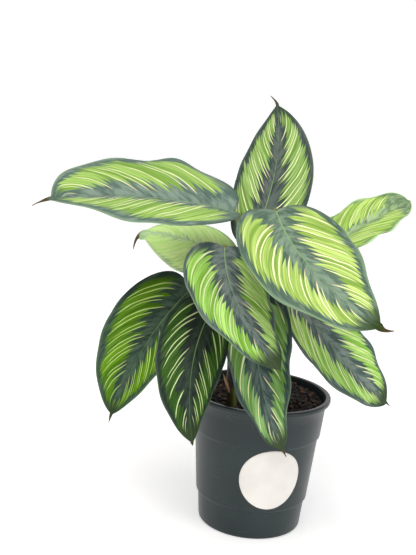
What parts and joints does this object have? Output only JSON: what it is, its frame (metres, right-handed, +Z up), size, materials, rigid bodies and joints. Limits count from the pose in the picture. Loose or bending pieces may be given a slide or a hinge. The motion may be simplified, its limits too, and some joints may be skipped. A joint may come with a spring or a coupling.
{
  "type": "potted calathea",
  "caption": "Potted calathea: broad oval striped leaves on slim stalks that rise from two shoots in a tapered plastic nursery pot of soil.",
  "frame": {"origin": "middle of the pot's flat base, on the surface it stands on", "axes": "+Z up the pot's axis; the plant's showing side faces -Y and +X is to its right"},
  "size_m": [0.3006, 0.2248, 0.3598],
  "materials": {
    "pot": "dark grey-green injection-moulded plastic, satin with soft highlights",
    "soil": "moist dark peat with bark crumbs",
    "label": "matt off-white sticker, blank",
    "shoot": "smooth olive-green leaf stalks and sheath",
    "leaf_left": "satin leaf with dark feathered centre, lime bands and cream side-vein stripes above, purple-green below",
    "leaf_top": "satin leaf with dark feathered centre, lime bands and cream side-vein stripes above, purple-green below",
    "leaf_right_back": "satin leaf with dark feathered centre, lime bands and cream side-vein stripes above, purple-green below",
    "leaf_front_right": "satin leaf with dark feathered centre, lime bands and cream side-vein stripes above, purple-green below",
    "leaf_front": "satin leaf with dark feathered centre, lime bands and cream side-vein stripes above, purple-green below",
    "leaf_low_left": "satin leaf with dark feathered centre, lime bands and cream side-vein stripes above, purple-green below",
    "leaf_low_front_left": "satin leaf with dark feathered centre, lime bands and cream side-vein stripes above, purple-green below",
    "leaf_low_front": "satin leaf with dark feathered centre, lime bands and cream side-vein stripes above, purple-green below",
    "leaf_low_right": "satin leaf with dark feathered centre, lime bands and cream side-vein stripes above, purple-green below",
    "leaf_left_back": "satin leaf with dark feathered centre, lime bands and cream side-vein stripes above, purple-green below"
  },
  "bodies": {
    "root": {"pot": "pot", "soil": "soil", "label": "label", "shoot_left": "shoot", "shoot_right": "shoot", "leaf_left": "leaf_left", "leaf_top": "leaf_top", "leaf_right_back": "leaf_right_back", "leaf_front_right": "leaf_front_right", "leaf_front": "leaf_front", "leaf_low_left": "leaf_low_left", "leaf_low_front_left": "leaf_low_front_left", "leaf_low_front": "leaf_low_front", "leaf_low_right": "leaf_low_right", "leaf_left_back": "leaf_left_back"}
  },
  "joints": []
}
